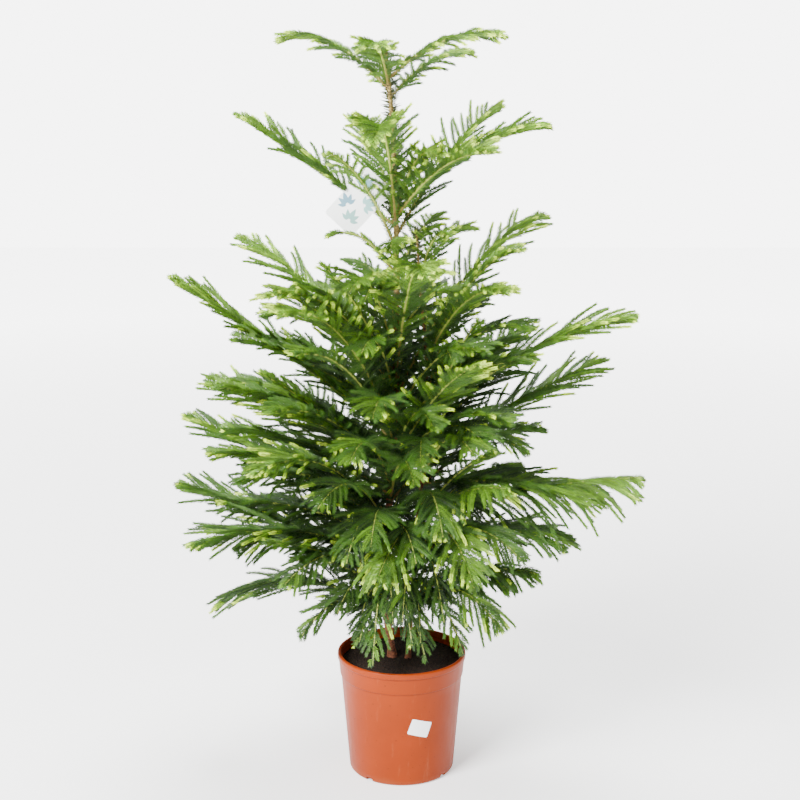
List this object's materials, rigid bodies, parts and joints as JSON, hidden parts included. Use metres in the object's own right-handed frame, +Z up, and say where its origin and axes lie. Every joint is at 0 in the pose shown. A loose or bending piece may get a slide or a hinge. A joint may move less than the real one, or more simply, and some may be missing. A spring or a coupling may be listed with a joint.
{
  "type": "potted norfolk island pine",
  "caption": "Young potted conifer with two slim stems, whorls of upswept boughs with flat plume-like sprays, in a round tapering nursery pot.",
  "frame": {"origin": "centre of the pot's flat underside", "axes": "+Z up along the trunk, +X to the right and +Y away from the side with the sticker and the hanging card"},
  "size_m": [0.8731, 0.6689, 1.3758],
  "materials": {
    "pot_plastic": "satin terracotta orange",
    "soil": "dark crumbly peat",
    "bark": "red-brown flaking bark",
    "bough_bark": "smooth yellow-green young bark",
    "foliage": "satin green needles",
    "sticker": "smooth white",
    "card": "smooth white"
  },
  "bodies": {
    "root": {"broad_1": "foliage", "broad_1_limb": "bough_bark", "broad_2": "foliage", "broad_3": "foliage", "crown_1": "foliage", "crown_2": "foliage", "crown_3": "foliage", "crown_4": "foliage", "crown_5": "foliage", "hang_card": "card", "low_1": "foliage", "low_1_limb": "bough_bark", "low_2": "foliage", "middle_1": "foliage", "middle_2": "foliage", "middle_3": "foliage", "middle_4": "foliage", "middle_5": "foliage", "pot": "pot_plastic", "pot_sticker": "sticker", "second_stem": "bark", "short_1": "foliage", "short_2": "foliage", "short_3": "foliage", "side_broad_1": "foliage", "side_broad_2": "foliage", "side_broad_3": "foliage", "side_broad_4": "foliage", "side_broad_4_limb": "bough_bark", "side_low_1": "foliage", "side_low_2": "foliage", "side_low_3": "foliage", "side_middle_1": "foliage", "side_middle_2": "foliage", "side_skirt_1": "foliage", "side_skirt_2": "foliage", "side_tip_1": "foliage", "side_tip_2": "foliage", "side_upper_1": "foliage", "side_upper_2": "foliage", "skirt_1": "foliage", "skirt_2": "foliage", "skirt_3": "foliage", "soil": "soil", "spread_1": "foliage", "spread_1_limb": "bough_bark", "spread_2": "foliage", "spread_3": "foliage", "spread_4": "foliage", "spread_5": "foliage", "trunk": "bark", "upper_1": "foliage", "upper_2": "foliage", "upper_3": "foliage", "upper_4": "foliage", "upper_5": "foliage", "upper_6": "foliage", "wide_1": "foliage", "wide_1_limb": "bough_bark", "wide_2": "foliage"}
  },
  "joints": []
}
